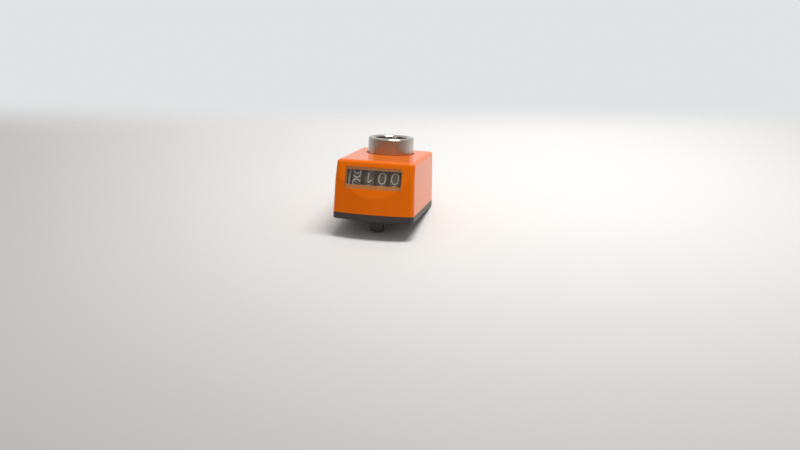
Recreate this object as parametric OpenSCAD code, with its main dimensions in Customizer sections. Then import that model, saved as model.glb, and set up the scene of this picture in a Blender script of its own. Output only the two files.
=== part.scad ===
// Mechanical position indicator: a moulded case on a base plate, a hollow steel shaft through it
// and a four-wheel counter behind a clear window. Millimetres. The shaft axis is Z, the mounting
// face is z = 0 and the window looks toward -Y.

/* [Case] */
// Width across the sides at the parting line
case_w = 33.8; // [33:0.1:40]
// Shaft axis to the foremost point of the bowed front
axis_to_front = 33; // [32.6:0.1:38]
// Shaft axis to the back wall
axis_to_back = 15; // [14:0.25:20]
// Height of the case top above the mounting face
case_h = 24.2; // [24:0.1:28]
// How far the bowed front stands ahead of its corners
front_bow = 2; // [1:0.1:3]
// Wall thickness of the sides, front and back
wall = 1.4; // [1:0.1:1.6]
// Thickness of the case top
top_wall = 1.6; // [1.2:0.1:1.8]
// Lean of each wall, measured at the case top
draft = 0.7; // [0.2:0.05:1]
// Radius of the upright corners
corner_r = 2.2; // [1.6:0.1:4]
// Radius of the edge round the top
top_r = 1.7; // [0.8:0.1:2.2]

/* [Window facet] */
// Lean of the flat facet from upright, in degrees
facet_lean = 12; // [8:0.5:14]
// Height at which the facet leaves the bowed front
facet_z = 9.1; // [7:0.1:11]
// Wall thickness behind the facet
facet_wall = 1.9; // [1.6:0.1:2]
// Width of the clear window
lens_w = 23.5; // [21:0.1:24.5]
// Height of the clear window along the facet
lens_h = 8.8; // [7.6:0.1:9]
// Depth of the pocket for the clear window
lens_t = 1.2; // [0.9:0.1:1.3]
// Depth of the window face below the facet
lens_sink = 0.36; // [0.1:0.02:0.5]
// Case top to the window centre
lens_drop = 6.9; // [6.6:0.1:7.2]
// Sideways place of the window centre
lens_x = -0.3; // [-0.8:0.1:0.5]
// Ledge at the ends that the window is bonded on
lens_ledge = 0.4; // [0.3:0.05:0.9]
// Ledge along the top of the window
ledge_top = 1.1; // [0.6:0.05:1.3]
// Ledge along the foot of the window
ledge_low = 1.6; // [0.8:0.05:1.8]

/* [Base plate] */
// Thickness of the base plate
base_t = 2.6; // [2:0.1:3]
// Height of the locating lip inside the case
lip_h = 1.2; // [0.6:0.1:1.6]
// Thickness of the locating lip
lip_t = 0.6; // [0.4:0.05:0.7]
// Diameter of the torque pin under the base
pin_d = 6; // [4:0.1:8]
// Length of the torque pin below the mounting face
pin_l = 6; // [3:0.5:10]
// Shaft axis to the torque pin
pin_y = 22; // [16:0.25:27]

/* [Hollow shaft] */
// Diameter of the through bore
bore_d = 14; // [6:0.1:14.6]
// Diameter of the boss that stands above the case
boss_d = 19.6; // [18.4:0.1:20.2]
// Height of the boss above the case top
boss_h = 6.8; // [5.4:0.1:12]
// Diameter of the journal inside the case
journal_d = 17; // [16.4:0.1:17.4]
// Thickness of the retaining flange
flange_t = 1.4; // [0.8:0.1:1.8]
// Thread size of the clamping screw
screw_d = 4; // [3:0.25:4.5]
// Length of the clamping screw
screw_l = 2.2; // [1.8:0.1:2.3]

/* [Counter] */
// Gap between the side wall and the gear plate
plate_gap = 0.25; // [0.15:0.05:0.5]
// Gap between neighbouring number bands, where the transfer pinions run
band_gap = 1.4; // [1.2:0.05:1.6]
// Sideways place of the counter
counter_x = 0.2; // [0:0.1:0.6]
// Foremost point of the front to the foremost point of the wheels
wheel_set_back = 4.1; // [4:0.05:4.6]
// Clear height under the wheels
wheel_clear = 2.8; // [2.2:0.1:3.2]
// Clear height over the wheels
wheel_head = 0.4; // [0.3:0.1:1]
// Diameter of the counter shaft
counter_shaft_d = 2; // [1.6:0.1:2.4]
// Diameter of the transfer axle
transfer_axle_d = 1.5; // [1.2:0.1:1.6]
// Thickness of the frame cheeks
cheek_t = 0.8; // [0.6:0.05:0.85]

/* [Gears] */
// Width of the spur gears
gear_w = 1.1; // [0.8:0.05:1.2]
// Thickness of the gear plate
plate_t = 0.8; // [0.6:0.05:0.9]
// Diameter of the gear pins
gear_pin_d = 1.5; // [1.2:0.05:1.6]

/* [Hidden] */
$fn = 72;
turn_fit = 0.03;
seat_fit = 0.01;
side_fit = 0.1;
// teeth of the train from the shaft to the counter: one turn of the shaft is ten units
crown_teeth = 36;
face_teeth = 12;
spur_teeth = 12;
input_teeth = 36;
pressure = 22;
carry_teeth = 20;
transfer_teeth = 8;
front_y = -axis_to_front;
bow_r = (case_w * case_w / 4 + front_bow * front_bow) / (2 * front_bow);
bow_y = front_y + bow_r;
boss_r = boss_d / 2;
journal_r = journal_d / 2;
ceiling = case_h - top_wall;
boss_z = case_h + boss_h;
lens_z = case_h - lens_drop;
function lean_in(z) = draft * (z - base_t) / (case_h - base_t);
facet_y = front_y + lean_in(facet_z);
function facet_at(z, in) = facet_y + (z - facet_z) * tan(facet_lean) + in / cos(facet_lean);

// places along X, from the left wall inward
plate_x = -(case_w / 2 - draft - wall - plate_gap);
gear_x = plate_x + plate_t + side_fit;
gear_gap = 1.25;
cheek_l = gear_x + gear_w + gear_gap;
stack_l = cheek_l + cheek_t + side_fit;
wheel_pitch = (counter_x - stack_l) / 2;
wheel_rim = wheel_pitch - band_gap;
stack_r = counter_x + 2 * wheel_pitch;
cheek_r = stack_r + side_fit;
wheel_half = (wheel_pitch - side_fit) / 2;

// shaft stack from the mounting face upward
washer_z = base_t;
washer_t = 0.4;
washer_w = 1.3;
crown_gap = 0.25;
crown_hub = 0.5;
crown_r = -gear_x - gear_w - crown_gap;
face_in = max(journal_r + crown_hub + 0.6, crown_r - 1.2);
crown_pitch_r = (crown_r + face_in) / 2;
face_module = 2 * crown_pitch_r / crown_teeth;
crown_z = washer_z + washer_t + 0.05;
crown_pitch_z = crown_z + 2.45;
crown_tip_z = crown_pitch_z + 0.8 * face_module;
crown_root_z = crown_pitch_z - 1.1 * face_module;
seal_d = 1.5;
seal_r = boss_r + 0.02 + seal_d / 2;
groove_r = boss_r + seal_d + 0.1;
flange_r = groove_r - 0.2;
collar_r = groove_r + 1.1;
collar_z = ceiling - 2.9;
groove_top = ceiling - 0.5;
flange_z = collar_z - 0.1 - flange_t;
screw_z = case_h + boss_h / 2;

// counter and gear train, as [y, z] places
wheel_r = (ceiling - wheel_head - base_t - wheel_clear) / 2;
counter = [front_y + wheel_set_back + wheel_r, base_t + wheel_clear + wheel_r];
carry_module = wheel_r / 12;
carry_a = (carry_teeth + transfer_teeth) * carry_module / 2;
transfer_dir = 228;
transfer = counter + carry_a * [cos(transfer_dir), sin(transfer_dir)];
drive = [0, crown_pitch_z + face_teeth * face_module / 2];
reach = norm(counter - drive);
spur_module = wheel_r / 21;
idler_teeth = ceil(reach / spur_module - (spur_teeth + input_teeth) / 2);
leg_1 = (spur_teeth + idler_teeth) * spur_module / 2;
leg_2 = (idler_teeth + input_teeth) * spur_module / 2;
along = (leg_1 * leg_1 - leg_2 * leg_2 + reach * reach) / (2 * reach);
aside = sqrt(max(leg_1 * leg_1 - along * along, 0));
u = (counter - drive) / reach;
idler = drive + along * u + aside * [u.y, -u.x];
function angle_to(a, b) = atan2(b.y - a.y, b.x - a.x);
// turn that brings a gear into mesh: first gear's tooth angle, both tooth numbers, line of centres
function mesh_turn(t1, n1, n2, dir) = dir + 180 + (dir - t1) * n1 / n2 + 180 / n2;
spur_turn = angle_to(drive, idler);
idler_turn = mesh_turn(spur_turn, spur_teeth, idler_teeth, angle_to(drive, idler));
input_turn = mesh_turn(idler_turn, idler_teeth, input_teeth, angle_to(idler, counter));
transfer_turn = transfer_dir + 180 + 180 / transfer_teeth;

// posts that carry the gear plate, clear of both large gears, and pegs under the frame
post_mid = idler + (counter - idler) * idler_teeth / (idler_teeth + input_teeth);
post_dir = (counter - idler) / leg_2;
post_off = 15.5 * spur_module;
posts = [post_mid + post_off * [-post_dir.y, post_dir.x], post_mid - post_off * [-post_dir.y, post_dir.x]];
post_r = 1.15;
peg_x = 1.35 * wheel_pitch;
frame_pegs = [[counter_x - peg_x, counter.x + 2], [counter_x + peg_x, counter.x + 2]];

function arc(c, r, a0, a1, n) = [for (k = [0:n]) let (a = a0 + (a1 - a0) * k / n) c + r * [cos(a), sin(a)]];

// plan of the case with its bowed front, moved in by a distance
function bowed_plan(in) =
    let (w = case_w / 2 - in, r = max(corner_r - in, 0.3), x = w - r)
    let (y = bow_y - sqrt(pow(bow_r - in - r, 2) - x * x), a = atan2(y - bow_y, x))
    let (b = axis_to_back - in - r, m = 18)
    concat(arc([x, y], r, a, 0, 8), arc([x, b], r, 0, 90, 8), arc([-x, b], r, 90, 180, 8),
        arc([-x, y], r, 180, 180 - a, 8),
        [for (k = [1:m - 1]) let (t = 180 - a + (180 + 2 * a) * k / m) [0, bow_y] + (bow_r - in) * [cos(t), sin(t)]]);

// plan with a straight front at y, for the body behind the window facet
function flat_plan(w, r, y) =
    let (b = axis_to_back + 3)
    concat(arc([w - r, y + r], r, -90, 0, 8), [[w, b], [-w, b]], arc([r - w, y + r], r, 180, 270, 8));

// solid skin over plans of equal point count at rising heights
module skin(plans, heights) {
    n = len(plans[0]);
    m = len(plans);
    points = [for (k = [0:m - 1]) for (p = plans[k]) [p.x, p.y, heights[k]]];
    sides = [for (k = [0:m - 2]) for (j = [0:n - 1]) let (a = k * n + j, b = k * n + (j + 1) % n)
        each [[a, b + n, b], [a, a + n, b + n]]];
    caps = [[for (j = [0:n - 1]) j], [for (j = [n - 1:-1:0]) (m - 1) * n + j]];
    polyhedron(points, concat(sides, caps));
}

// drafted body with rounded edges: moved in by a wall, the facet by its own wall, up to a top
module body(in, facet_in, z0, top, r) {
    steps = [for (k = [0:7]) 90 * k / 7];
    zc = top - r;
    heights = concat([z0], [for (a = steps) zc + r * sin(a)]);
    hull() {
        intersection() {
            skin([for (k = [0:8]) bowed_plan(in + lean_in(heights[k]) + (k < 1 ? 0 : r * (1 - cos(steps[k - 1]))))],
                heights);
            flat_body(in, facet_in, z0, top, r);
        }
    }
}

// body with a straight leaning front, a hair wider than the bowed one
module flat_body(in, facet_in, z0, top, r) {
    steps = [for (k = [0:9]) facet_lean + (90 - facet_lean) * k / 9];
    zc = top + 0.02 - r;
    yc = facet_at(zc, facet_in) + r / cos(facet_lean);
    heights = concat([z0 - 1, zc], [for (a = steps) zc + r * sin(a)]);
    skin([for (k = [0:11])
        let (a = k < 2 ? 0 : steps[k - 2], z = heights[k], trim = k < 2 ? 0 : r * (1 - cos(a)))
        flat_plan(case_w / 2 - in - lean_in(z) + 0.02 - trim, max(corner_r - in - trim, 0.3),
            k < 2 ? facet_at(z, facet_in) : yc - r * cos(a))], heights);
}

// frame on the facet at the window centre: x across, y up the facet, z outward
module on_facet() {
    translate([lens_x, facet_at(lens_z, 0), lens_z])
        rotate([90 - facet_lean, 0, 0])
            children();
}

module slab(w, h, r, z0, z1) {
    translate([0, 0, z0])
        linear_extrude(z1 - z0) {
            square([w - 2 * r, h], center = true);
            square([w, h - 2 * r], center = true);
            for (x = [-1, 1])
                for (y = [-1, 1])
                    translate([x * (w / 2 - r), y * (h / 2 - r)])
                        circle(r);
        }
}

// puts a shape drawn in the plane of the wheels, with x to the back and y up, at [y, z] and depth x
module across(x, at) {
    translate([x, at.x, at.y])
        rotate([90, 0, 90])
            children();
}

module ring(r1, r0, h) {
    difference() {
        cylinder(r = r1, h = h);
        translate([0, 0, -1])
            cylinder(r = r0, h = h + 2);
    }
}

function inv_angle(r, rb) = r <= rb ? 0 : let (t = sqrt(pow(r / rb, 2) - 1)) t * 180 / PI - atan(t);

// outline of a spur gear with thinned teeth; only every step-th tooth is kept
function gear_points(n, mod, thin, add, ded, step) =
    let (rp = n * mod / 2, rb = rp * cos(pressure), ro = rp + add * mod, ri = rp - ded * mod)
    let (half = ((PI * mod / 2 - thin) / 2 / rp) * 180 / PI + inv_angle(rp, rb))
    let (low = max(rb, ri), radii = concat(ri < rb ? [ri] : [], [for (k = [0:4]) low + (ro - low) * k / 4]))
    let (m = len(radii))
    [for (k = [0:n - 1]) let (c = k * 360 / n)
        each k % step != 0 ? [ri * [cos(c), sin(c)]] : [for (j = [0:2 * m - 1])
            let (r = radii[j < m ? j : 2 * m - 1 - j], h = half - inv_angle(r, rb), a = j < m ? c - h : c + h)
            r * [cos(a), sin(a)]]];

module gear(n, mod, thin, w, turn, add = 0.8, ded = 1.05, step = 1) {
    rotate([0, 0, turn])
        linear_extrude(w)
            polygon(gear_points(n, mod, thin, add, ded, step));
}

module bored(r, w) {
    difference() {
        children();
        translate([0, 0, -1])
            cylinder(r = r, h = w + 2);
    }
}

module case() {
    color("darkorange")
        difference() {
            union() {
                difference() {
                    body(0, 0, base_t, case_h, top_r);
                    body(wall, facet_wall, base_t - 1, ceiling, max(top_r - wall, 0.5));
                }
                translate([0, 0, collar_z])
                    cylinder(r = collar_r, h = ceiling + 0.2 - collar_z);
            }
            translate([0, 0, collar_z - 1])
                cylinder(r = boss_r + turn_fit, h = case_h);
            translate([0, 0, collar_z - 1])
                cylinder(r = groove_r, h = groove_top - collar_z + 1);
            translate([0, 0, case_h - 0.7])
                cylinder(r = boss_r + 0.55, h = 2);
            on_facet()
                slab(lens_w + 0.04, lens_h + 0.04, 0.6, -lens_t, 3);
            on_facet()
                translate([0, (ledge_low - ledge_top) / 2, 0])
                    slab(lens_w - 2 * lens_ledge, lens_h - ledge_top - ledge_low, 0.5, -4, 1);
        }
}

module window_lens() {
    color([0.75, 0.78, 0.8, 0.35])
        on_facet()
            slab(lens_w, lens_h, 0.58, -lens_t, -lens_sink);
}

module base_plate() {
    in = wall + 0.1;
    pin_z = -pin_l;
    color([0.16, 0.16, 0.17])
        difference() {
            union() {
                linear_extrude(base_t)
                    polygon(bowed_plan(0));
                translate([0, 0, base_t - 0.2])
                    linear_extrude(lip_h + 0.2)
                        difference() {
                            polygon(bowed_plan(in));
                            polygon(bowed_plan(in + lip_t));
                        }
                translate([0, -pin_y, pin_z + 0.4])
                    cylinder(d = pin_d, h = pin_l);
                translate([0, -pin_y, pin_z])
                    cylinder(r1 = pin_d / 2 - 0.4, r2 = pin_d / 2, h = 0.4);
            }
            translate([0, 0, -1])
                cylinder(r = journal_r + turn_fit, h = base_t + 2);
            for (p = frame_pegs)
                translate([p.x, p.y, base_t - 1.3])
                    cylinder(r = 1 + seat_fit, h = 2);
        }
}

module drive_bush() {
    r = bore_d / 2;
    c = 0.5;
    color([0.72, 0.71, 0.69])
        difference() {
            rotate_extrude()
                polygon([[r, 0.3], [r + 0.3, 0], [journal_r - 0.3, 0], [journal_r, 0.3], [journal_r, flange_z],
                    [flange_r, flange_z], [flange_r, flange_z + flange_t], [boss_r, flange_z + flange_t],
                    [boss_r, boss_z - c], [boss_r - c, boss_z], [r + c, boss_z], [r, boss_z - c]]);
            translate([0, r - 1, screw_z])
                rotate([-90, 0, 0])
                    cylinder(d = screw_d, h = boss_r);
        }
}

module set_screw() {
    color([0.2, 0.2, 0.22])
        translate([0, boss_r - 0.1 - screw_l, screw_z])
            rotate([-90, 0, 0])
                difference() {
                    union() {
                        translate([0, 0, 0.4])
                            cylinder(r = screw_d / 2 - seat_fit, h = screw_l - 0.4);
                        cylinder(r1 = screw_d / 2 - 0.7, r2 = screw_d / 2 - seat_fit, h = 0.4);
                    }
                    translate([0, 0, screw_l - 1.5])
                        cylinder(d = screw_d * 0.577, h = 2, $fn = 6);
                }
}

module crown_gear() {
    slot = PI * face_module / 2;
    t = tan(pressure);
    up = crown_tip_z + 0.5 - crown_pitch_z;
    low = crown_pitch_z - crown_root_z;
    color([0.86, 0.83, 0.74])
        difference() {
            union() {
                translate([0, 0, crown_z])
                    ring(crown_r, journal_r + seat_fit, crown_tip_z - crown_z);
                translate([0, 0, crown_z])
                    ring(journal_r + crown_hub, journal_r + seat_fit, flange_z - side_fit - crown_z);
            }
            translate([0, 0, crown_root_z])
                ring(face_in, min(journal_r + 1, face_in - 0.01), 3);
            for (k = [0:crown_teeth - 1])
                rotate([0, 0, 180 + k * 360 / crown_teeth])
                    translate([face_in - 0.1, 0, crown_pitch_z])
                        rotate([90, 0, 90])
                            linear_extrude(crown_r - face_in + 1)
                                polygon([[slot / 2 - low * t, -low], [slot / 2 + up * t, up],
                                    [-slot / 2 - up * t, up], [low * t - slot / 2, -low]]);
        }
}

module thrust_washer() {
    color([0.8, 0.62, 0.3])
        translate([0, 0, washer_z])
            ring(journal_r + washer_w, journal_r + 0.1, washer_t);
}

module front_seal() {
    color([0.08, 0.08, 0.08])
        translate([0, 0, groove_top - seal_d / 2 - 0.02])
            rotate_extrude()
                translate([seal_r, 0])
                    circle(d = seal_d);
}

module seal_retainer() {
    color([0.2, 0.2, 0.21])
        translate([0, 0, collar_z])
            ring(groove_r - seat_fit, boss_r + 0.1, groove_top - collar_z - seal_d - 0.1);
}

module cheek(left) {
    foot = base_t;
    boss = counter_shaft_d / 2 + 1.6;
    front = transfer.x - 1.6;
    back = counter.x + 8.6;
    difference() {
        union() {
            polygon([[front, foot], [back, foot], [back, foot + 2.5], [counter.x + boss + 1.6, counter.y],
                [counter.x - boss, counter.y], [front, transfer.y]]);
            translate(counter)
                circle(wheel_r - 0.2);
            translate(transfer)
                circle(1.6);
            if (left) {
                for (p = posts) {
                    translate(p)
                        circle(1.7);
                    link(p, post_mid, 1.3);
                }
                link(counter, idler, 1.5);
                translate(idler)
                    circle(2);
            }
        }
        translate(counter)
            circle(counter_shaft_d / 2 + turn_fit);
        translate(transfer)
            circle(transfer_axle_d / 2 + seat_fit);
        if (left)
            translate(idler)
                circle(gear_pin_d / 2 + seat_fit);
    }
}

// straight bar between two places in a flat shape
module link(a, b, r) {
    translate(a)
        rotate(angle_to(a, b))
            translate([0, -r])
                square([norm(b - a), 2 * r]);
}

module counter_frame() {
    floor_y = counter.x - 3.5;
    floor_l = -crown_r - 0.7 - floor_y;
    color([0.55, 0.56, 0.57])
        difference() {
            union() {
                across(cheek_l, [0, 0])
                    linear_extrude(cheek_t)
                        cheek(true);
                across(cheek_r, [0, 0])
                    linear_extrude(cheek_t)
                        cheek(false);
                translate([cheek_l + cheek_t / 2, floor_y, base_t])
                    cube([cheek_r - cheek_l, floor_l, 1.2]);
                for (p = frame_pegs)
                    translate([p.x, p.y, base_t - 1.2])
                        cylinder(r = 1, h = 1.6);
                for (p = posts)
                    across(plate_x + plate_t, p)
                        cylinder(r = post_r, h = cheek_l + 0.2 - plate_x - plate_t);
            }
            for (p = posts)
                across(plate_x + plate_t - 1, p)
                    cylinder(r = 0.6 + seat_fit, h = 3.2);
        }
}

module gear_plate() {
    color([0.7, 0.71, 0.72])
        across(plate_x, [0, 0])
            difference() {
                linear_extrude(plate_t)
                    difference() {
                        union() {
                            for (p = concat(posts, [drive, idler]))
                                translate(p)
                                    circle(1.8);
                            link(posts[0], posts[1], 1.6);
                            link(post_mid, idler, 1.6);
                            link(idler, drive, 1.6);
                        }
                        translate(drive)
                            circle(gear_pin_d / 2 + seat_fit);
                        translate(idler)
                            circle(gear_pin_d / 2 + seat_fit);
                        for (p = posts)
                            translate(p)
                                circle(0.7);
                    }
                for (p = posts)
                    translate([p.x, p.y, -0.01])
                        cylinder(r1 = 1.3, r2 = 0.7, h = 0.6);
            }
}

module gear_plate_screws() {
    color([0.6, 0.6, 0.6])
        for (p = posts)
            across(plate_x, p)
                difference() {
                    union() {
                        cylinder(r1 = 1.26, r2 = 0.6, h = 0.62);
                        cylinder(r = 0.6, h = plate_t + 2);
                    }
                    translate([-1.5, -0.15, -0.1])
                        cube([3, 0.3, 0.35]);
                }
}

module drive_pinion() {
    w = gear_w;
    inner = -(face_in + 0.05);
    face_x = -(crown_r - 0.05);
    color([0.86, 0.83, 0.74])
        across(gear_x, drive)
            bored(gear_pin_d / 2 + turn_fit, inner - gear_x) {
                gear(spur_teeth, spur_module, 0.07, w, spur_turn);
                translate([0, 0, w - 0.1])
                    cylinder(r = 1.6, h = face_x - gear_x - w + 0.2);
                translate([0, 0, face_x - gear_x])
                    gear(face_teeth, face_module, 0.22, inner - face_x, 270);
            }
}

module drive_pinion_pin() {
    end = -(face_in + 0.05) + side_fit;
    color([0.7, 0.7, 0.7])
        across(plate_x, drive) {
            cylinder(d = gear_pin_d, h = end - plate_x + 0.2);
            translate([0, 0, end - plate_x])
                cylinder(r = gear_pin_d / 2 + 0.5, h = 0.35);
        }
}

module idler_gear() {
    color([0.86, 0.83, 0.74])
        across(gear_x, idler)
            bored(gear_pin_d / 2 + turn_fit, cheek_l - gear_x) {
                gear(idler_teeth, spur_module, 0.07, gear_w, idler_turn);
                cylinder(r = 1.8, h = cheek_l - side_fit - gear_x);
            }
}

module idler_pin() {
    color([0.7, 0.7, 0.7])
        across(plate_x, idler)
            cylinder(d = gear_pin_d, h = cheek_l + cheek_t - plate_x);
}

module input_gear() {
    color([0.86, 0.83, 0.74])
        across(gear_x, counter)
            bored(counter_shaft_d / 2 + seat_fit, cheek_l - gear_x) {
                gear(input_teeth, spur_module, 0.07, gear_w, input_turn);
                cylinder(r = 2.4, h = cheek_l - side_fit - gear_x);
            }
}

module counter_shaft() {
    color([0.7, 0.7, 0.7])
        across(gear_x, counter)
            cylinder(d = counter_shaft_d, h = cheek_r + cheek_t - gear_x);
}

// one number wheel: place in the row, gear on its left side, carry disc on its right side, bore
module number_wheel(k, geared, carries, bore_r) {
    x = counter_x + (k - 1.5) * wheel_pitch;
    rim_in = 6.3 * carry_module;
    carry_r = carry_a - 4.75 * carry_module - 0.27;
    h = wheel_rim / 2;
    hub = counter_shaft_d / 2 + 1.3;
    band = wheel_half - h;
    color([0.1, 0.1, 0.1])
        across(x, counter) {
            rotate_extrude()
                polygon([[bore_r, -wheel_half], [hub, -wheel_half], [hub, -0.6], [rim_in, -0.6], [rim_in, -h],
                    [wheel_r - 0.15, -h], [wheel_r, 0.15 - h], [wheel_r, h - 0.15], [wheel_r - 0.15, h],
                    [rim_in, h], [rim_in, 0.6], [hub, 0.6], [hub, wheel_half], [bore_r, wheel_half]]);
            if (geared)
                translate([0, 0, -wheel_half])
                    bored(rim_in, band)
                        gear(carry_teeth, carry_module, 0.12, band + 0.1, transfer_dir);
            if (carries)
                translate([0, 0, h - 0.1])
                    difference() {
                        ring(carry_r, rim_in, band + 0.1);
                        for (a = [-14, 14])
                            rotate([0, 0, transfer_dir + 180 + a])
                                translate([carry_r - 0.7, -0.45, -1])
                                    cube([2, 0.9, 3]);
                    }
        }
}

module number_wheel_units() {
    number_wheel(0, false, true, counter_shaft_d / 2 + seat_fit);
}

module number_wheel_tens() {
    number_wheel(1, true, true, counter_shaft_d / 2 + turn_fit);
}

module number_wheel_hundreds() {
    number_wheel(2, true, true, counter_shaft_d / 2 + turn_fit);
}

module number_wheel_thousands() {
    number_wheel(3, true, false, counter_shaft_d / 2 + turn_fit);
}

// pinion between two wheels: eight teeth on the driven side, every second one on the carry side
module transfer_pinion(k) {
    w = wheel_pitch - wheel_rim - 2 * side_fit;
    x = counter_x + (k - 1) * wheel_pitch - w / 2;
    color([0.86, 0.83, 0.74])
        across(x, transfer)
            bored(transfer_axle_d / 2 + turn_fit, w) {
                gear(transfer_teeth, carry_module, 0.12, w / 2 + 0.05, transfer_turn, 0.75, 1.05, 2);
                translate([0, 0, w / 2])
                    gear(transfer_teeth, carry_module, 0.12, w / 2, transfer_turn, 0.75);
            }
}

module transfer_pinion_tens() {
    transfer_pinion(0);
}

module transfer_pinion_hundreds() {
    transfer_pinion(1);
}

module transfer_pinion_thousands() {
    transfer_pinion(2);
}

module transfer_axle() {
    color([0.7, 0.7, 0.7])
        across(cheek_l, transfer)
            cylinder(d = transfer_axle_d, h = cheek_r + cheek_t - cheek_l);
}

case();
window_lens();
base_plate();
drive_bush();
set_screw();
crown_gear();
thrust_washer();
front_seal();
seal_retainer();
counter_frame();
gear_plate();
gear_plate_screws();
drive_pinion();
drive_pinion_pin();
idler_gear();
idler_pin();
input_gear();
counter_shaft();
number_wheel_units();
number_wheel_tens();
number_wheel_hundreds();
number_wheel_thousands();
transfer_pinion_tens();
transfer_pinion_hundreds();
transfer_pinion_thousands();
transfer_axle();
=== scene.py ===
import math

import bmesh
import bpy
from mathutils import Matrix, Vector


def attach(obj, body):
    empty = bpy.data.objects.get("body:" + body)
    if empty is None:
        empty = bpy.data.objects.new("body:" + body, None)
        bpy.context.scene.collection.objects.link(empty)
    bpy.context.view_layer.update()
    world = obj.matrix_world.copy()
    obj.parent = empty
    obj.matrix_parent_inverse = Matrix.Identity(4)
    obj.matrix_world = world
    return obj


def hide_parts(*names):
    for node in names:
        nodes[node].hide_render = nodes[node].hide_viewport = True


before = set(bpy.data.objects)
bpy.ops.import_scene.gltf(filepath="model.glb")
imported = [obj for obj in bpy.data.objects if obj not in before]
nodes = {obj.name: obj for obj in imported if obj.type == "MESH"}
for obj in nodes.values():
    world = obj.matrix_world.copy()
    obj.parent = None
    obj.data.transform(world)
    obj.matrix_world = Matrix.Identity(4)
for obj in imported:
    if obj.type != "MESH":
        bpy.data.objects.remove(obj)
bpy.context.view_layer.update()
scene = bpy.context.scene
mm = 0.001
print("frame loaded:", len(nodes), "nodes")


# camera: the photograph's own view, image taken as 800 x 450

cameraValues = {
    "place": (83.68, -401.01, 77.15),  # mm
    "right": (0.97902, 0.19961, 0.04081),
    "down": (0.07969, -0.19083, -0.97838),
    "forward": (-0.1875, 0.96111, -0.20273),
    "lens": 42.75,
    "sensor": 36.0,
    "clipStart": 0.01,  # m
}


def makeCamera(v):
    data = bpy.data.cameras.new("photoCamera")
    data.lens = v["lens"]
    data.sensor_width = v["sensor"]
    data.clip_start = v["clipStart"]
    camera = bpy.data.objects.new("photoCamera", data)
    scene.collection.objects.link(camera)
    right, down, forward = Vector(v["right"]), Vector(v["down"]), Vector(v["forward"])
    turn = Matrix((right, -down, -forward)).transposed()
    camera.matrix_world = Matrix.Translation(Vector(v["place"]) * mm) @ turn.to_4x4()
    scene.camera = camera


makeCamera(cameraValues)
print("camera placed")


# node helpers

def addNode(tree, kind, place=(0, 0), **values):
    node = tree.nodes.new(kind)
    node.location = place
    for key, value in values.items():
        setattr(node, key, value)
    return node


def join(tree, fromNode, fromSocket, toNode, toSocket):
    tree.links.new(fromNode.outputs[fromSocket], toNode.inputs[toSocket])


def mathNode(tree, operation, a, b, place=(0, 0)):
    node = addNode(tree, "ShaderNodeMath", place, operation=operation)
    for socket, value in zip(node.inputs, (a, b)):
        if isinstance(value, bpy.types.NodeSocket):
            tree.links.new(value, socket)
        else:
            socket.default_value = value
    return node.outputs[0]


def newGroup(name, inputs, outputs):
    tree = bpy.data.node_groups.new(name, "ShaderNodeTree")
    for socketName, kind, value in inputs:
        socket = tree.interface.new_socket(socketName, in_out="INPUT", socket_type=kind)
        if value is not None:
            socket.default_value = value
    for socketName, kind in outputs:
        tree.interface.new_socket(socketName, in_out="OUTPUT", socket_type=kind)
    return tree, addNode(tree, "NodeGroupInput", (-900, 0)), addNode(tree, "NodeGroupOutput", (700, 0))


skinValues = {
    "slowScale": 90, "slowDetail": 3, "skinDetail": 2,
    "scuffStretch": (260, 2600, 420), "scuffTurn": (0.3, 0.2, 0.9), "scuffDetail": 2,
    "scuffRange": (0.62, 0.8), "scuffDull": 0.35, "scuffDeep": 0.4,
}
marksValues = {"ringDetail": 3, "cloudScale": 260, "cloudDetail": 4}


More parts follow.
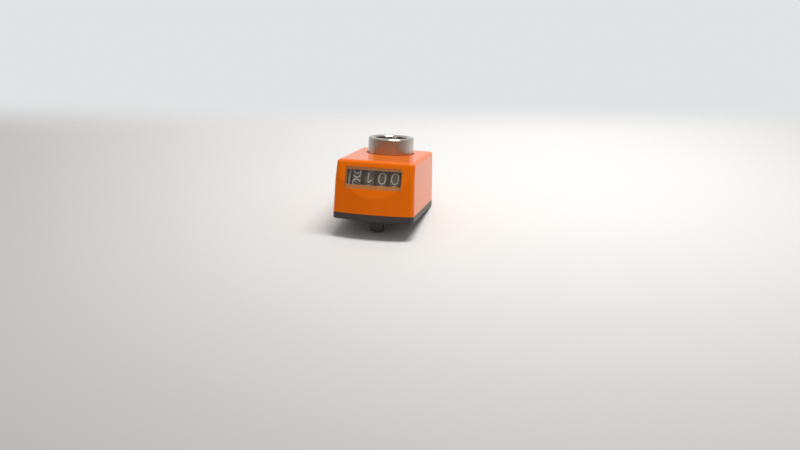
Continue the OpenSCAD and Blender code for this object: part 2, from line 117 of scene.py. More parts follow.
def makeMouldedSkin(v):
    # moulded plastic: slow colour drift, fine skin and scuffs
    tree, start, end = newGroup("mouldedSkin", [
        ("Vector", "NodeSocketVector", None),
        ("Colour", "NodeSocketColor", (0.5, 0.5, 0.5, 1)),
        ("Drift", "NodeSocketFloat", 0.06),
        ("Skin Scale", "NodeSocketFloat", 1500.0),
        ("Scuffs", "NodeSocketFloat", 0.3),
        ("Gloss Low", "NodeSocketFloat", 0.2),
        ("Gloss High", "NodeSocketFloat", 0.3),
    ], [("Colour", "NodeSocketColor"), ("Roughness", "NodeSocketFloat"), ("Height", "NodeSocketFloat")])
    slow = addNode(tree, "ShaderNodeTexNoise", (-600, 300))
    slow.inputs["Scale"].default_value = v["slowScale"]
    slow.inputs["Detail"].default_value = v["slowDetail"]
    join(tree, start, "Vector", slow, "Vector")
    shade = mathNode(tree, "SUBTRACT", slow.outputs["Fac"], 0.5, (-400, 300))
    shade = mathNode(tree, "MULTIPLY", shade, start.outputs["Drift"], (-250, 300))
    shade = mathNode(tree, "ADD", shade, 1.0, (-100, 300))
    tint = addNode(tree, "ShaderNodeVectorMath", (100, 300), operation="SCALE")
    join(tree, start, "Colour", tint, 0)
    tree.links.new(shade, tint.inputs["Scale"])
    join(tree, tint, "Vector", end, "Colour")
    stretch = addNode(tree, "ShaderNodeMapping", (-750, -100))
    stretch.inputs["Scale"].default_value = v["scuffStretch"]
    stretch.inputs["Rotation"].default_value = v["scuffTurn"]
    join(tree, start, "Vector", stretch, "Vector")
    scuff = addNode(tree, "ShaderNodeTexNoise", (-550, -100))
    scuff.inputs["Scale"].default_value = 1
    scuff.inputs["Detail"].default_value = v["scuffDetail"]
    join(tree, stretch, "Vector", scuff, "Vector")
    mask = addNode(tree, "ShaderNodeMapRange", (-350, -100))
    mask.inputs["From Min"].default_value = v["scuffRange"][0]
    mask.inputs["From Max"].default_value = v["scuffRange"][1]
    join(tree, scuff, "Fac", mask, "Value")
    worn = mathNode(tree, "MULTIPLY", mask.outputs["Result"], start.outputs["Scuffs"], (-150, -100))
    level = addNode(tree, "ShaderNodeMapRange", (-150, 80))
    join(tree, slow, "Fac", level, "Value")
    join(tree, start, "Gloss Low", level, "To Min")
    join(tree, start, "Gloss High", level, "To Max")
    dull = mathNode(tree, "MULTIPLY", worn, v["scuffDull"], (0, -100))
    rough = mathNode(tree, "ADD", level.outputs["Result"], dull, (200, 0))
    tree.links.new(rough, end.inputs["Roughness"])
    skin = addNode(tree, "ShaderNodeTexNoise", (-550, -400))
    skin.inputs["Detail"].default_value = v["skinDetail"]
    join(tree, start, "Vector", skin, "Vector")
    join(tree, start, "Skin Scale", skin, "Scale")
    deep = mathNode(tree, "MULTIPLY", worn, v["scuffDeep"], (0, -250))
    height = mathNode(tree, "SUBTRACT", skin.outputs["Fac"], deep, (200, -400))
    tree.links.new(height, end.inputs["Height"])
    return tree


def makeTurnedMarks(v):
    # turned metal: fine rings along the axis and across the end faces, centred on Z
    tree, start, end = newGroup("turnedMarks", [
        ("Vector", "NodeSocketVector", None),
        ("Pitch", "NodeSocketFloat", 9000.0),
        ("Gloss Low", "NodeSocketFloat", 0.16),
        ("Gloss High", "NodeSocketFloat", 0.34),
    ], [("Height", "NodeSocketFloat"), ("Roughness", "NodeSocketFloat"), ("Shade", "NodeSocketFloat")])
    split = addNode(tree, "ShaderNodeSeparateXYZ", (-700, 100))
    join(tree, start, "Vector", split, "Vector")
    xx = mathNode(tree, "MULTIPLY", split.outputs["X"], split.outputs["X"], (-550, 200))
    yy = mathNode(tree, "MULTIPLY", split.outputs["Y"], split.outputs["Y"], (-550, 50))
    radius = mathNode(tree, "SQRT", mathNode(tree, "ADD", xx, yy, (-400, 150)), 0.0, (-250, 150))
    along = mathNode(tree, "ADD", radius, split.outputs["Z"], (-100, 150))
    ringPlace = mathNode(tree, "MULTIPLY", along, start.outputs["Pitch"], (50, 150))
    rings = addNode(tree, "ShaderNodeTexNoise", (200, 150), noise_dimensions="1D")
    rings.inputs["Scale"].default_value = 1
    rings.inputs["Detail"].default_value = v["ringDetail"]
    tree.links.new(ringPlace, rings.inputs["W"])
    join(tree, rings, "Fac", end, "Height")
    cloud = addNode(tree, "ShaderNodeTexNoise", (-100, -200))
    cloud.inputs["Scale"].default_value = v["cloudScale"]
    cloud.inputs["Detail"].default_value = v["cloudDetail"]
    join(tree, start, "Vector", cloud, "Vector")
    total = mathNode(tree, "ADD", rings.outputs["Fac"], cloud.outputs["Fac"], (350, -50))
    both = mathNode(tree, "MULTIPLY", total, 0.5, (450, -50))
    level = addNode(tree, "ShaderNodeMapRange", (550, -150))
    tree.links.new(both, level.inputs["Value"])
    join(tree, start, "Gloss Low", level, "To Min")
    join(tree, start, "Gloss High", level, "To Max")
    join(tree, level, "Result", end, "Roughness")
    tree.links.new(both, end.inputs["Shade"])
    return tree


mouldedSkin = makeMouldedSkin(skinValues)
turnedMarks = makeTurnedMarks(marksValues)
print("shared node groups made")


# materials

plasticBump = 0.00005  # m
metalBump = 0.00002
plainIor = 1.45
alongRings = 0.25  # turns


def startMaterial(name):
    material = bpy.data.materials.new(name)
    material.use_nodes = True
    tree = material.node_tree
    shader = tree.nodes["Principled BSDF"]
    place = addNode(tree, "ShaderNodeTexCoord", (-900, 0))
    return material, tree, shader, place


def linear(red, green, blue):
    def one(c):
        c = c / 255
        return c / 12.92 if c <= 0.04045 else ((c + 0.055) / 1.055) ** 2.4
    return (one(red), one(green), one(blue), 1)


def mouldedPlastic(name, v):
    material, tree, shader, place = startMaterial(name)
    skin = addNode(tree, "ShaderNodeGroup", (-600, 0), node_tree=mouldedSkin)
    join(tree, place, "Object", skin, "Vector")
    skin.inputs["Colour"].default_value = linear(*v["colour"])
    skin.inputs["Drift"].default_value = v["drift"]
    skin.inputs["Skin Scale"].default_value = v["skinScale"]
    skin.inputs["Scuffs"].default_value = v["scuffs"]
    skin.inputs["Gloss Low"].default_value = v["gloss"][0]
    skin.inputs["Gloss High"].default_value = v["gloss"][1]
    bump = addNode(tree, "ShaderNodeBump", (-300, -250))
    bump.inputs["Strength"].default_value = v["bump"]
    bump.inputs["Distance"].default_value = plasticBump
    join(tree, skin, "Height", bump, "Height")
    join(tree, skin, "Colour", shader, "Base Color")
    join(tree, skin, "Roughness", shader, "Roughness")
    join(tree, bump, "Normal", shader, "Normal")
    shader.inputs["IOR"].default_value = v.get("ior", plainIor)
    return material


def turnedMetal(name, v):
    material, tree, shader, place = startMaterial(name)
    toAxis = addNode(tree, "ShaderNodeMapping", (-750, 0))
    toAxis.inputs["Rotation"].default_value = v.get("turn", (0, 0, 0))
    join(tree, place, "Object", toAxis, "Vector")
    marks = addNode(tree, "ShaderNodeGroup", (-550, 0), node_tree=turnedMarks)
    join(tree, toAxis, "Vector", marks, "Vector")
    marks.inputs["Pitch"].default_value = v["pitch"]
    marks.inputs["Gloss Low"].default_value = v["gloss"][0]
    marks.inputs["Gloss High"].default_value = v["gloss"][1]
    ramp = addNode(tree, "ShaderNodeValToRGB", (-300, 200))
    ramp.color_ramp.elements[0].color = linear(*v["dark"])
    ramp.color_ramp.elements[1].color = linear(*v["light"])
    join(tree, marks, "Shade", ramp, "Fac")
    bump = addNode(tree, "ShaderNodeBump", (-300, -200))
    bump.inputs["Strength"].default_value = v["bump"]
    bump.inputs["Distance"].default_value = metalBump
    join(tree, marks, "Height", bump, "Height")
    join(tree, ramp, "Color", shader, "Base Color")
    join(tree, marks, "Roughness", shader, "Roughness")
    join(tree, bump, "Normal", shader, "Normal")
    shader.inputs["Metallic"].default_value = 1.0
    shader.inputs["Anisotropic"].default_value = v.get("drag", 0.0)
    shader.inputs["Anisotropic Rotation"].default_value = alongRings
    return material


def clearWindow(name, v):
    material, tree, shader, place = startMaterial(name)
    haze = addNode(tree, "ShaderNodeTexNoise", (-600, 0))
    haze.inputs["Scale"].default_value = v["hazeScale"]
    haze.inputs["Detail"].default_value = v["hazeDetail"]
    join(tree, place, "Object", haze, "Vector")
    level = addNode(tree, "ShaderNodeMapRange", (-350, 0))
    level.inputs["From Min"].default_value = v["hazeRange"][0]
    level.inputs["From Max"].default_value = v["hazeRange"][1]
    level.inputs["To Min"].default_value = v["gloss"][0]
    level.inputs["To Max"].default_value = v["gloss"][1]
    join(tree, haze, "Fac", level, "Value")
    join(tree, level, "Result", shader, "Roughness")
    shader.inputs["Base Color"].default_value = linear(*v["colour"])
    shader.inputs["IOR"].default_value = v["ior"]
    shader.inputs["Transmission Weight"].default_value = 1.0
    return material


plasticValues = {
    "orangeCase": {"colour": (240, 112, 2), "drift": 0.04, "skinScale": 1800, "scuffs": 0.1,
                   "gloss": (0.12, 0.18), "bump": 0.02, "ior": 1.3},
    "anthraciteBase": {"colour": (60, 57, 55), "drift": 0.2, "skinScale": 5200, "scuffs": 0.5,
                       "gloss": (0.36, 0.5), "bump": 0.25},
    # the wheels are black plastic; this colour is lifted to a brownish grey as painted haze and window
    # reflection over wheels that sit in the case's shade
    "blackWheelWithPaintedHaze": {"colour": (122, 107, 87), "drift": 0.2, "skinScale": 6000, "scuffs": 0.3,
                   "gloss": (0.34, 0.46), "bump": 0.15},
    "whiteFigure": {"colour": (244, 236, 220), "drift": 0.12, "skinScale": 7000, "scuffs": 0.2,
                    "gloss": (0.45, 0.6), "bump": 0.2},
    "greyFrame": {"colour": (214, 208, 200), "drift": 0.08, "skinScale": 5000, "scuffs": 0.3,
                  "gloss": (0.4, 0.55), "bump": 0.2},
    "naturalGear": {"colour": (226, 218, 196), "drift": 0.08, "skinScale": 5000, "scuffs": 0.2,
                    "gloss": (0.35, 0.5), "bump": 0.15},
    "bondFilm": {"colour": (255, 158, 58), "drift": 0.3, "skinScale": 3000, "scuffs": 0.3,
                 "gloss": (0.45, 0.6), "bump": 0.2},
    "blackSeal": {"colour": (22, 22, 23), "drift": 0.2, "skinScale": 7000, "scuffs": 0.2,
                  "gloss": (0.5, 0.7), "bump": 0.3},
}
metalValues = {
    "turnedSteel": {"dark": (162, 153, 144), "light": (204, 195, 185), "pitch": 9000, "gloss": (0.16, 0.26),
                    "bump": 0.06, "drag": 0.85},
    "pinSteel": {"dark": (160, 158, 154), "light": (205, 203, 198), "pitch": 14000, "gloss": (0.18, 0.34),
                 "bump": 0.1, "turn": (0, math.radians(90), 0)},
    "blackScrew": {"dark": (34, 34, 36), "light": (66, 66, 70), "pitch": 14000, "gloss": (0.28, 0.45),
                   "bump": 0.12, "turn": (math.radians(90), 0, 0)},
    "bronzeWasher": {"dark": (166, 118, 58), "light": (206, 160, 92), "pitch": 9000, "gloss": (0.22, 0.4),
                     "bump": 0.12},
}
windowValues = {"colour": (238, 240, 240), "gloss": (0.02, 0.1), "ior": 1.49,
                "hazeScale": 700, "hazeDetail": 4, "hazeRange": (0.45, 0.8)}

finish = {name: mouldedPlastic(name, v) for name, v in plasticValues.items()}
finish.update({name: turnedMetal(name, v) for name, v in metalValues.items()})
finish["clearWindow"] = clearWindow("clearWindow", windowValues)
print("materials made:", len(finish))


# piece helpers

weldGap = 0.001  # mm
packedGap = 0.002
packedFlat = 0.6  # degrees
sharpAngle = 30
shadeWeight = 80


def addPiece(bm, name, material, body, replaced=(), weighted=True, creases=()):
    bm.normal_update()
    for face in bm.faces:
        face.smooth = True
    for edge in bm.edges:
        edge.smooth = len(edge.link_faces) == 2 and edge.calc_face_angle(0) < math.radians(sharpAngle)
    for edge in creases:
        edge.smooth = False
    mesh = bpy.data.meshes.new(name)
    bm.to_mesh(mesh)
    bm.free()
    mesh.materials.append(finish[material])
    piece = bpy.data.objects.new(name, mesh)
    scene.collection.objects.link(piece)
    if weighted:
        even = piece.modifiers.new("evenShading", "WEIGHTED_NORMAL")
        even.keep_sharp = True
        even.weight = shadeWeight
    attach(piece, body)
    if replaced:
        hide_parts(*replaced)
    return piece


def mergedCopy(nodeName):
    bm = bmesh.new()
    bm.from_mesh(nodes[nodeName].data)
    for face in bm.faces:
        face.material_index = 0
    bmesh.ops.remove_doubles(bm, verts=bm.verts, dist=packedGap * mm)
    bmesh.ops.dissolve_limit(bm, angle_limit=math.radians(packedFlat), verts=bm.verts, edges=bm.edges)
    return bm


def hardEdges(bm, degrees, test):
    limit = math.radians(degrees)
    return [e for e in bm.edges if len(e.link_faces) == 2 and e.calc_face_angle(0) > limit
            and all(test(v.co / mm) for v in e.verts)]


def softenEdges(bm, edges, width, segments):
    bmesh.ops.bevel(bm, geom=edges, offset=width * mm, offset_type="OFFSET", affect="EDGES",
                    segments=segments, profile=0.5, material=-1, clamp_overlap=True)


def spinProfile(points, steps, rounding, segments):
    # closed ring round Z from an outline given as radius and height in mm
    bm = bmesh.new()
    bm.faces.new([bm.verts.new((r * mm, 0, z * mm)) for r, z in points])
    bmesh.ops.bevel(bm, geom=list(bm.verts), offset=rounding * mm, affect="VERTICES", segments=segments,
                    profile=0.5, material=-1)
    bmesh.ops.delete(bm, geom=list(bm.faces), context="FACES_ONLY")
    bmesh.ops.spin(bm, geom=list(bm.edges), cent=(0, 0, 0), axis=(0, 0, 1), angle=math.tau, steps=steps,
                   use_merge=True)
    bmesh.ops.remove_doubles(bm, verts=bm.verts, dist=weldGap * mm)
    bmesh.ops.recalc_face_normals(bm, faces=bm.faces)
    return bm


def applyModifiers(piece):
    bpy.context.view_layer.update()
    graph = bpy.context.evaluated_depsgraph_get()
    done = bpy.data.meshes.new_from_object(piece.evaluated_get(graph))
    piece.modifiers.clear()
    old = piece.data
    piece.data = done
    bpy.data.meshes.remove(old)


# case and base plate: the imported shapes, the base with its lower side edges softened

caseValues = {"facetLean": 12.0, "flatWithin": 0.5, "creaseAngle": 6.0}
baseValues = {"edgeSoft": 0.2, "segments": 2, "hardAngle": 50, "edgeHeight": (-1.0, 0.01), "edgeFromX": 10.5}


def makeCase(v):
    # the outline of the leaning facet stays a crisp line
    bm = mergedCopy("case")
    bm.normal_update()
    lean = math.radians(v["facetLean"])
    outward = Vector((0, -math.cos(lean), math.sin(lean)))
    onFlat = {f for f in bm.faces if f.normal.angle(outward, math.pi) < math.radians(v["flatWithin"])}
    creases = [e for e in bm.edges if len(e.link_faces) == 2 and len(onFlat.intersection(e.link_faces)) == 1
               and e.calc_face_angle(0) > math.radians(v["creaseAngle"])]
    addPiece(bm, "caseShell", "orangeCase", "housing", ("case",), creases=creases)


def makeBase(v):
    def onRim(p):
        return low < p.z < high and abs(p.x) > v["edgeFromX"]

    bm = mergedCopy("base_plate")
    low, high = v["edgeHeight"]
    softenEdges(bm, hardEdges(bm, v["hardAngle"], onRim), v["edgeSoft"], v["segments"])
    addPiece(bm, "basePlate", "anthraciteBase", "housing", ("base_plate",))


makeCase(caseValues)
makeBase(baseValues)
print("case and base made")


# hollow shaft: turned outline, then the cross hole for the clamping screw

bushValues = {
    "bore": 7.0, "journal": 8.5, "flange": 11.2, "boss": 9.8,  # radii in mm
    "flangeLow": 18.2, "flangeHigh": 19.6, "top": 31.0, "chamfer": 0.5, "footChamfer": 0.3,
    "rounding": 0.06, "roundSegments": 2, "steps": 120,
    "holeRadius": 2.0, "holeHeight": 27.6, "holeSegments": 48, "holeInset": 1.0,
}


def makeBush(v):
    r, j, f, b = v["bore"], v["journal"], v["flange"], v["boss"]
    c, q, top = v["chamfer"], v["footChamfer"], v["top"]
    outline = [(r, q), (r + q, 0), (j - q, 0), (j, q), (j, v["flangeLow"]), (f, v["flangeLow"]),
               (f, v["flangeHigh"]), (b, v["flangeHigh"]), (b, top - c), (b - c, top), (r + c, top),
               (r, top - c)]
    bm = spinProfile(outline, v["steps"], v["rounding"], v["roundSegments"])
    piece = addPiece(bm, "hollowShaft", "turnedSteel", "shaft", ("drive_bush",))
    cutter = bmesh.new()
    bmesh.ops.create_cone(cutter, cap_ends=True, segments=v["holeSegments"], radius1=v["holeRadius"] * mm,
                          radius2=v["holeRadius"] * mm, depth=b * mm)
    bmesh.ops.rotate(cutter, verts=cutter.verts, matrix=Matrix.Rotation(math.radians(90), 3, "X"))
    middle = r - v["holeInset"] + b / 2
    bmesh.ops.translate(cutter, verts=cutter.verts, vec=(0, middle * mm, v["holeHeight"] * mm))
    cutMesh = bpy.data.meshes.new("crossHole")
    cutter.to_mesh(cutMesh)
    cutter.free()
    cutObject = bpy.data.objects.new("crossHole", cutMesh)
    scene.collection.objects.link(cutObject)
    drill = piece.modifiers.new("crossHole", "BOOLEAN")
    drill.object = cutObject
    drill.solver = "EXACT"
    piece.modifiers.move(1, 0)
    applyModifiers(piece)
    bpy.data.objects.remove(cutObject)


makeBush(bushValues)
print("hollow shaft made")


# clamping screw with a hexagon socket, lying along +Y in the boss

screwValues = {"radius": 1.95, "length": 2.2, "outerEnd": 9.7, "height": 27.6, "rim": 0.15, "segments": 48,
               "socket": 2.0, "flatsToCorner": 1.732, "hexCuts": 7, "socketDeep": 1.3,
               "cone": 0.4, "coneInset": 0.65, "pitch": 0.7, "threadDeep": 0.16, "crest": 0.3, "flank": 0.2}


def makeScrew(v):
    # drawn from the rim into the socket, then from the rim along the thread to the flat point
    bm = bmesh.new()
    rimRadius = v["radius"] - v["rim"]
    rim = bmesh.ops.create_circle(bm, cap_ends=False, segments=v["segments"], radius=rimRadius * mm)["verts"]
    rimEdges = list({e for w in rim for e in w.link_edges})
    hexRadius = v["socket"] / v["flatsToCorner"]
    hexVerts = bmesh.ops.create_circle(bm, cap_ends=False, segments=6, radius=hexRadius * mm)["verts"]
    hexEdges = list({e for w in hexVerts for e in w.link_edges})
    bmesh.ops.subdivide_edges(bm, edges=hexEdges, cuts=v["hexCuts"])
    hexEdges = [e for e in bm.edges if e not in rimEdges]
    bmesh.ops.bridge_loops(bm, edges=rimEdges + hexEdges)

    def pull(edges, dz, scale=1.0):
        grown = bmesh.ops.extrude_edge_only(bm, edges=edges)["geom"]
        verts = [g for g in grown if isinstance(g, bmesh.types.BMVert)]
        bmesh.ops.translate(bm, verts=verts, vec=(0, 0, dz * mm))
        bmesh.ops.scale(bm, verts=verts, vec=(scale, scale, 1))
        return [g for g in grown if isinstance(g, bmesh.types.BMEdge)]

    floor = pull(hexEdges, -v["socketDeep"])
    bmesh.ops.contextual_create(bm, geom=floor)
    ring = pull(rimEdges, -v["rim"], v["radius"] / rimRadius)
    threaded = v["length"] - v["cone"] - v["rim"]
    turns = int(threaded / v["pitch"])
    crest, flank = v["pitch"] * v["crest"], v["pitch"] * v["flank"]
    root = 1 - v["threadDeep"] / v["radius"]
    for k in range(turns):
        ring = pull(ring, -crest)
        ring = pull(ring, -flank, root)
        ring = pull(ring, -crest)
        ring = pull(ring, -flank, 1 / root)
    ring = pull(ring, turns * v["pitch"] - threaded)
    ring = pull(ring, -v["cone"], (v["radius"] - v["coneInset"]) / v["radius"])
    bmesh.ops.contextual_create(bm, geom=ring)
    bmesh.ops.recalc_face_normals(bm, faces=bm.faces)
    bmesh.ops.rotate(bm, verts=bm.verts, matrix=Matrix.Rotation(math.radians(-90), 3, "X"))
    bmesh.ops.translate(bm, verts=bm.verts, vec=(0, v["outerEnd"] * mm, v["height"] * mm))
    addPiece(bm, "clampScrew", "blackScrew", "shaft", ("set_screw",))


makeScrew(screwValues)
print("clamping screw made")


# clear window on the leaning facet

lensValues = {"width": 23.5, "height": 8.8, "thick": 0.78, "outer": -0.36,
              "corner": 0.58, "cornerSegments": 6, "edge": 0.12, "edgeSegments": 2,
              "x": -0.3, "centreZ": 17.3, "facetY": -32.7894, "facetZ": 9.1, "lean": 12.0,
              "ledgeEnd": 0.4, "ledgeTop": 1.1, "ledgeLow": 1.6, "filmLow": -1.2, "filmThick": 0.05,
              "filmInset": 0.05}


def onFacet(v):
    y = v["facetY"] + (v["centreZ"] - v["facetZ"]) * math.tan(math.radians(v["lean"]))
    place = Matrix.Translation(Vector((v["x"], y, v["centreZ"])) * mm)
    return place @ Matrix.Rotation(math.radians(90 - v["lean"]), 4, "X")


def makeBondFilm(v):
    # thin bonding film between the window and its ledge, from a grid of three by three faces
    bm = bmesh.new()
    bmesh.ops.create_grid(bm, x_segments=3, y_segments=3, size=mm)
    inset = v["filmInset"]
    xs, ys = v["width"] / 2 - inset, v["height"] / 2 - inset
    inner = xs - v["ledgeEnd"] + inset
    top, low = ys - v["ledgeTop"] + inset, -ys + v["ledgeLow"] - inset
    outerRow = 0.9
    for w in bm.verts:
        x, y = w.co.x / mm, w.co.y / mm
        w.co.x = math.copysign(xs if abs(x) > outerRow else inner, x) * mm
        w.co.y = (math.copysign(ys, y) if abs(y) > outerRow else (top if y > 0 else low)) * mm
    middle = min(bm.faces, key=lambda face: face.calc_center_median().length)
    bmesh.ops.delete(bm, geom=[middle], context="FACES")
    bmesh.ops.solidify(bm, geom=list(bm.faces), thickness=v["filmThick"] * mm)
    lowest = min(w.co.z for w in bm.verts)
    bmesh.ops.translate(bm, verts=bm.verts, vec=(0, 0, v["filmLow"] * mm - lowest))
    bmesh.ops.recalc_face_normals(bm, faces=bm.faces)
    bmesh.ops.transform(bm, matrix=onFacet(v), verts=bm.verts)
    addPiece(bm, "bondFilm", "bondFilm", "housing", weighted=False)


def makeLens(v):
    bm = bmesh.new()
    bmesh.ops.create_cube(bm, size=mm)
    bmesh.ops.scale(bm, verts=bm.verts, vec=(v["width"], v["height"], v["thick"]))
    bmesh.ops.translate(bm, verts=bm.verts, vec=(0, 0, (v["outer"] - v["thick"] / 2) * mm))
    upright = [e for e in bm.edges if abs(e.verts[0].co.z - e.verts[1].co.z) > v["thick"] / 2 * mm]
    softenEdges(bm, upright, v["corner"], v["cornerSegments"])
    front = max(w.co.z for w in bm.verts)
    rim = [e for e in bm.edges if all(w.co.z > front - weldGap * mm for w in e.verts)]
    softenEdges(bm, rim, v["edge"], v["edgeSegments"])
    bmesh.ops.transform(bm, matrix=onFacet(v), verts=bm.verts)
    addPiece(bm, "windowLens", "clearWindow", "housing", ("window_lens",))


makeBondFilm(lensValues)
makeLens(lensValues)
print("window made")


# number wheels and their figures

digitStep = 36  # degrees
wheelValues = {
    "axisY": -20.5, "axisZ": 13.8, "radius": 8.4, "readAngle": 22.4,
    # each wheel's name, place along the axis in mm and turn in degrees
    "wheels": (("units", -7.75, -3.2 - 5.5 * digitStep), ("tens", -2.45, 0.6 - digitStep),
               ("hundreds", 2.85, 0.8), ("thousands", 8.15, 1.8)),
    "figureWidth": 2.75, "figureHeight": 4.4, "stroke": 0.46, "lift": 0.02, "thick": 0.05,
    "curveSteps": 6, "roundSteps": 1,
}
oval = [(0.25, 0), (0.75, 0), (1, 0.25), (1, 0.75), (0.75, 1), (0.25, 1), (0, 0.75), (0, 0.25)]


def ovalBetween(low, high, left=0.0, right=1.0):
    return [(left + x * (right - left), low + y * (high - low)) for x, y in oval]


# strokes of the figures 0 to 9, in shares of their width and height
six = [("loop", ovalBetween(0, 0.6)),
       ("curve", [(0.95, 0.8), (0.86, 1.0), (0.1, 1.0), (0.0, 0.6), (0.0, 0.28)])]
figures = [
    [("loop", ovalBetween(0, 1))],
    [("line", [(0.1, 0.69), (0.68, 1.0), (0.68, 0.0)])],
    [("curve", [(0.03, 0.7), (0.05, 1.0), (0.95, 1.02), (1.0, 0.6), (0.62, 0.38), (0.0, 0.0)]),
     ("line", [(0.0, 0.0), (1.0, 0.0)])],
    [("curve", [(0.03, 0.8), (0.1, 1.0), (0.95, 1.03), (0.95, 0.56), (0.42, 0.54)]),
     ("curve", [(0.42, 0.54), (1.0, 0.56), (1.06, -0.03), (0.1, 0.0), (0.0, 0.22)])],
    [("line", [(0.74, 0.0), (0.74, 1.0), (0.0, 0.28), (1.0, 0.28)])],
    [("line", [(0.92, 1.0), (0.18, 1.0), (0.1, 0.52)]),
     ("curve", [(0.1, 0.52), (0.3, 0.66), (1.0, 0.7), (1.05, -0.03), (0.15, 0.0), (0.0, 0.18)])],
    six,
    [("line", [(0.0, 1.0), (1.0, 1.0), (0.34, 0.0)])],
    [("loop", ovalBetween(0, 0.55)), ("loop", ovalBetween(0.55, 1, 0.07, 0.93))],
    [(kind, [(1 - x, 1 - y) for x, y in points]) for kind, points in six],
]


def figureMesh(strokes, v):
    # strokes drawn as a round bar, centred on the origin, x right and y up
    curve = bpy.data.curves.new("figure", "CURVE")
    curve.dimensions = "3D"
    curve.resolution_u = v["curveSteps"]
    curve.bevel_depth = v["stroke"] / 2 * mm
    curve.bevel_resolution = v["roundSteps"]
    curve.use_fill_caps = True
    for kind, points in strokes:
        spline = curve.splines.new("NURBS")
        spline.points.add(len(points) - 1)
        for point, (x, y) in zip(spline.points, points):
            point.co = ((x - 0.5) * v["figureWidth"] * mm, (y - 0.5) * v["figureHeight"] * mm, 0, 1)
        spline.order_u = 2 if kind == "line" else 3
        spline.use_cyclic_u = kind == "loop"
        spline.use_endpoint_u = kind != "loop"
    holder = bpy.data.objects.new("figure", curve)
    scene.collection.objects.link(holder)
    bpy.context.view_layer.update()
    graph = bpy.context.evaluated_depsgraph_get()
    mesh = bpy.data.meshes.new_from_object(holder.evaluated_get(graph))
    bpy.data.objects.remove(holder)
    bpy.data.curves.remove(curve)
    return mesh


def makeWheels(v):
    # figures wrapped round each wheel and pressed flat, upside down as seen from the front
    glyphs = [figureMesh(strokes, v) for strokes in figures]
    flat = v["thick"] / v["stroke"]
    for name, x, offset in v["wheels"]:
        wheel = mergedCopy("number_wheel_" + name)
        # the wheel finish carries painted haze over its black
        addPiece(wheel, "wheel_" + name, "blackWheelWithPaintedHaze", name, ("number_wheel_" + name,))
        bm = bmesh.new()
        for digit, glyph in enumerate(glyphs):
            before = set(bm.verts)
            bm.from_mesh(glyph)
            middle = math.radians(v["readAngle"] + offset + digit * digitStep)
            for w in set(bm.verts) - before:
                angle = middle - w.co.y / (v["radius"] * mm)
                radius = (v["radius"] + v["lift"]) * mm + w.co.z * flat
                w.co = (x * mm - w.co.x, v["axisY"] * mm - radius * math.cos(angle),
                        v["axisZ"] * mm + radius * math.sin(angle))
        bmesh.ops.remove_doubles(bm, verts=bm.verts, dist=weldGap * mm)
        bmesh.ops.recalc_face_normals(bm, faces=bm.faces)
        addPiece(bm, "figures_" + name, "whiteFigure", name, weighted=False)
    for glyph in glyphs:
        bpy.data.meshes.remove(glyph)


makeWheels(wheelValues)
print("number wheels made")


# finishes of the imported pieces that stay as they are

nodeFinish = {
    "crown_gear": "naturalGear", "thrust_washer": "bronzeWasher", "front_seal": "blackSeal",
    "seal_retainer": "anthraciteBase", "counter_frame": "greyFrame", "gear_plate": "pinSteel",
    "gear_plate_screws": "pinSteel", "drive_pinion": "naturalGear", "drive_pinion_pin": "pinSteel",
    "idler_gear": "naturalGear", "idler_pin": "pinSteel", "input_gear": "naturalGear",
    "counter_shaft": "pinSteel",
    "transfer_pinion_tens": "naturalGear", "transfer_pinion_hundreds": "naturalGear",
    "transfer_pinion_thousands": "naturalGear", "transfer_axle": "pinSteel",
}
for nodeName, finishName in nodeFinish.items():
    slots = nodes[nodeName].data.materials
    for k in range(len(slots)):
        slots[k] = finish[finishName]
print("inner pieces finished:", len(nodeFinish))


# floor, light and world

floorValues = {"backEdge": 15.0, "slope": 0.1744, "near": -500, "far": 210, "side": 700, "turn": 11.0,
               "colour": (228, 226, 223), "grainShade": 4, "grainScale": 7, "rough": 0.7,
               "fade": (0.12, 0.2)}  # fade in m, sizes in mm
lightValues = {  # m, W and degrees
    "overhead": {"place": (0.1, -0.07, 0.4), "aim": (0.06, 0.05, 0), "size": (0.24, 0.1), "power": 0.535,
                 "spread": 104},
    "backFloor": {"place": (-0.08, 0.25, 0.35), "aim": (-0.08, 0.25, 0), "size": (0.7, 0.1), "power": 0.26,
                  "spread": 85},
}
# glow: the colour of the painted reflection the card gives the metal and glass
cardValues = {"radius": 0.75, "low": -0.25, "high": 0.55, "left": -86, "right": 127, "steps": 36,
              "glow": (158, 126, 106)}
worldValues = {"colour": (1.0, 1.0, 1.0), "light": 0.37, "seen": (0.75, 0.77, 0.78, 1)}


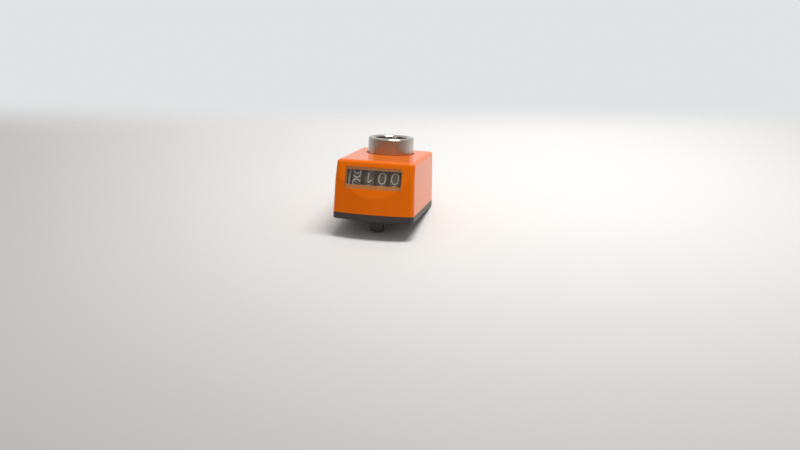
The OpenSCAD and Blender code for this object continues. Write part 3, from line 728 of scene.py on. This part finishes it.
def makeFloor(v):
    # slopes so that the part rests on its pin and its back edge, and melts into the backdrop
    bm = bmesh.new()
    corners = [(-v["side"], v["near"]), (v["side"], v["near"]), (v["side"], v["far"]), (-v["side"], v["far"])]
    bm.faces.new([bm.verts.new((x * mm, y * mm, 0)) for x, y in corners])
    bmesh.ops.rotate(bm, verts=bm.verts, matrix=Matrix.Rotation(math.radians(v["turn"]), 3, "Z"))
    for w in bm.verts:
        w.co.z = -(v["backEdge"] * mm - w.co.y) * v["slope"]
    mesh = bpy.data.meshes.new("paleFloor")
    bm.to_mesh(mesh)
    bm.free()
    material, tree, shader, place = startMaterial("paleFloor")
    grain = addNode(tree, "ShaderNodeTexNoise", (-600, 0))
    grain.inputs["Scale"].default_value = v["grainScale"]
    join(tree, place, "Object", grain, "Vector")
    ramp = addNode(tree, "ShaderNodeValToRGB", (-350, 0))
    ramp.color_ramp.elements[0].color = linear(*[c - v["grainShade"] for c in v["colour"]])
    ramp.color_ramp.elements[1].color = linear(*v["colour"])
    join(tree, grain, "Fac", ramp, "Fac")
    join(tree, ramp, "Color", shader, "Base Color")
    shader.inputs["Roughness"].default_value = v["rough"]
    straight = addNode(tree, "ShaderNodeMapping", (-700, -300))
    straight.inputs["Rotation"].default_value = (0, 0, -math.radians(v["turn"]))
    join(tree, place, "Object", straight, "Vector")
    split = addNode(tree, "ShaderNodeSeparateXYZ", (-500, -300))
    join(tree, straight, "Vector", split, "Vector")
    fade = addNode(tree, "ShaderNodeMapRange", (-300, -300), interpolation_type="SMOOTHSTEP")
    fade.inputs["From Min"].default_value, fade.inputs["From Max"].default_value = v["fade"]
    fade.inputs["To Min"].default_value, fade.inputs["To Max"].default_value = 1.0, 0.0
    join(tree, split, "Y", fade, "Value")
    join(tree, fade, "Result", shader, "Alpha")
    mesh.materials.append(material)
    floor = bpy.data.objects.new("paleFloor", mesh)
    scene.collection.objects.link(floor)


def makeCard(v):
    # card bent round the camera side that glows a brownish tone: a painted reflection, seen only in glossy
    # reflections of the metal and glass
    bm = bmesh.new()
    low = bm.verts.new((0, -v["radius"], v["low"]))
    edge = bm.edges.new((low, bm.verts.new((0, -v["radius"], v["high"]))))
    left, right = math.radians(v["left"]), math.radians(v["right"])
    bmesh.ops.rotate(bm, verts=bm.verts, matrix=Matrix.Rotation(left, 3, "Z"))
    bmesh.ops.spin(bm, geom=[edge, *bm.verts], axis=(0, 0, 1), angle=right - left, steps=v["steps"])
    mesh = bpy.data.meshes.new("glowingReflectionCard")
    bm.to_mesh(mesh)
    bm.free()
    material, _, shader, _ = startMaterial("glowingReflectionCard")
    shader.inputs["Base Color"].default_value = (0, 0, 0, 1)
    shader.inputs["Roughness"].default_value = 1.0
    # the glow is painted reflection; the card is no lamp and lights nothing
    shader.inputs["Emission Color"].default_value = linear(*v["glow"])
    shader.inputs["Emission Strength"].default_value = 1.0
    mesh.materials.append(material)
    card = bpy.data.objects.new("glowingReflectionCard", mesh)
    card.visible_camera = False
    card.visible_diffuse = False
    card.visible_transmission = False
    card.visible_shadow = False
    scene.collection.objects.link(card)


def makeLight(name, v):
    data = bpy.data.lights.new(name, "AREA")
    data.shape = "RECTANGLE"
    data.size, data.size_y = v["size"]
    data.energy = v["power"]
    data.spread = math.radians(v["spread"])
    lamp = bpy.data.objects.new(name, data)
    lamp.location = v["place"]
    lamp.rotation_euler = (Vector(v["aim"]) - Vector(v["place"])).to_track_quat("-Z", "Y").to_euler()
    scene.collection.objects.link(lamp)


def makeWorld(v):
    # the camera, metal and glass see the backdrop's colour, all else gets the plain light
    world = bpy.data.worlds.new("studio")
    world.use_nodes = True
    scene.world = world
    tree = world.node_tree
    lit = tree.nodes["Background"]
    lit.inputs["Color"].default_value = (*v["colour"], 1)
    lit.inputs["Strength"].default_value = v["light"]
    seen = addNode(tree, "ShaderNodeBackground", (0, -150))
    seen.inputs["Color"].default_value = v["seen"]
    path = addNode(tree, "ShaderNodeLightPath", (-500, 200))
    ray = path.outputs["Is Camera Ray"]
    ray = mathNode(tree, "MAXIMUM", ray, path.outputs["Is Glossy Ray"], (-250, 250))
    ray = mathNode(tree, "MAXIMUM", ray, path.outputs["Is Transmission Ray"], (-100, 250))
    mix = addNode(tree, "ShaderNodeMixShader", (200, 0))
    tree.links.new(ray, mix.inputs[0])
    join(tree, lit, "Background", mix, 1)
    join(tree, seen, "Background", mix, 2)
    join(tree, mix, "Shader", tree.nodes["World Output"], "Surface")


makeFloor(floorValues)
makeCard(cardValues)
for lightName, v in lightValues.items():
    makeLight(lightName, v)
makeWorld(worldValues)
scene.view_settings.view_transform = "Standard"
print("floor and light made")
